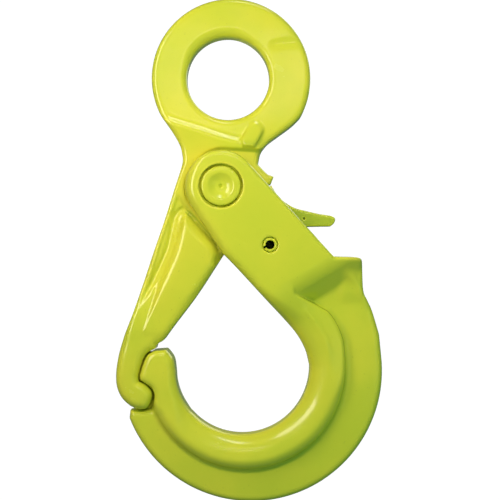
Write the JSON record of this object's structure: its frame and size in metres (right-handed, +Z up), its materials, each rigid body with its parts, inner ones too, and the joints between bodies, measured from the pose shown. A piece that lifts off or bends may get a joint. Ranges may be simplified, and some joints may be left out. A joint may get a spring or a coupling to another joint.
{
  "type": "self-locking eye hook",
  "caption": "Forged self-locking eye hook: eye with fixed latch arm, forked hook that swings open on a load pin, and a sprung trigger lock.",
  "frame": {"origin": "centre of the eye's hole, on the parting plane of the forgings", "axes": "+Z up the load line from the bowl to the eye, +Y from the front face to the back face along the eye's axis and the pins, +X towards the hook's back and its trigger"},
  "size_m": [0.113, 0.031, 0.2136],
  "materials": {
    "lime_paint": "glossy baked enamel over drop-forged steel, slightly uneven",
    "spring_steel": "drawn spring wire, satin"
  },
  "bodies": {
    "eye": {"eye_and_latch": "lime_paint"},
    "hook": {"hook_body": "lime_paint", "load_pin": "lime_paint", "trigger_pin": "lime_paint", "trigger_spring": "spring_steel"},
    "trigger": {"trigger": "lime_paint"}
  },
  "joints": [
    {"name": "hook_swing", "type": "hinge", "parent": "eye", "child": "hook", "pos_m": [-0.0051, 0, -0.0457], "axis": [0, -1, 0], "range_deg": [0, 42]},
    {"name": "trigger_press", "type": "hinge", "parent": "hook", "child": "trigger", "pos_m": [0.0143, 0, -0.0713], "axis": [0, 1, 0], "range_deg": [0, 26], "stiffness_Nm_per_rad": 0.5, "springref_deg": -22.92, "deforming": ["trigger_spring"]}
  ],
  "couplings": [
    {"joint": "trigger_press", "follows": "hook_swing", "ratio": 0.6}
  ]
}
